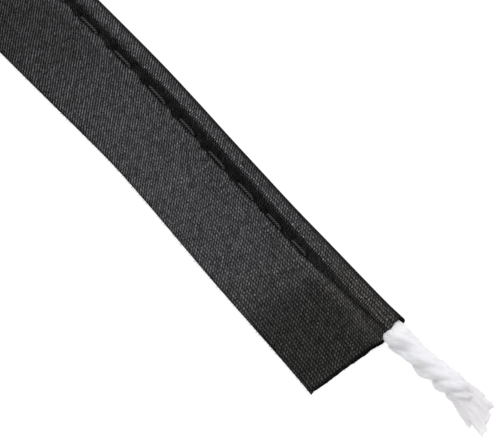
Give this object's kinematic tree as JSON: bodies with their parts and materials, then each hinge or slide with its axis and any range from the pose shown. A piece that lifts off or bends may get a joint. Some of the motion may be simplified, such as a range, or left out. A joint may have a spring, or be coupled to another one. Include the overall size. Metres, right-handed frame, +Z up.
{
  "type": "cut length of flanged satin piping trim with its filler cord",
  "caption": "Bias strip of satin folded round a twisted cotton cord and stitched beside it, leaving a flat flange to sew into a seam; the cord sticks out and frays at one end.",
  "frame": {"origin": "on the resting surface, under the middle of the overall length and width", "axes": "+X along the strip towards the end where the cord sticks out, +Y across it towards the corded edge, +Z up"},
  "size_m": [0.0886, 0.0144, 0.0029],
  "materials": {
    "black_satin": "black polyester satin, warp-faced, soft sheen, cut on the bias",
    "white_cotton": "bleached cotton, three strands twisted, matt and slightly hairy"
  },
  "bodies": {
    "root": {"satin_cover": "black_satin", "filler_cord": "white_cotton"}
  },
  "joints": []
}
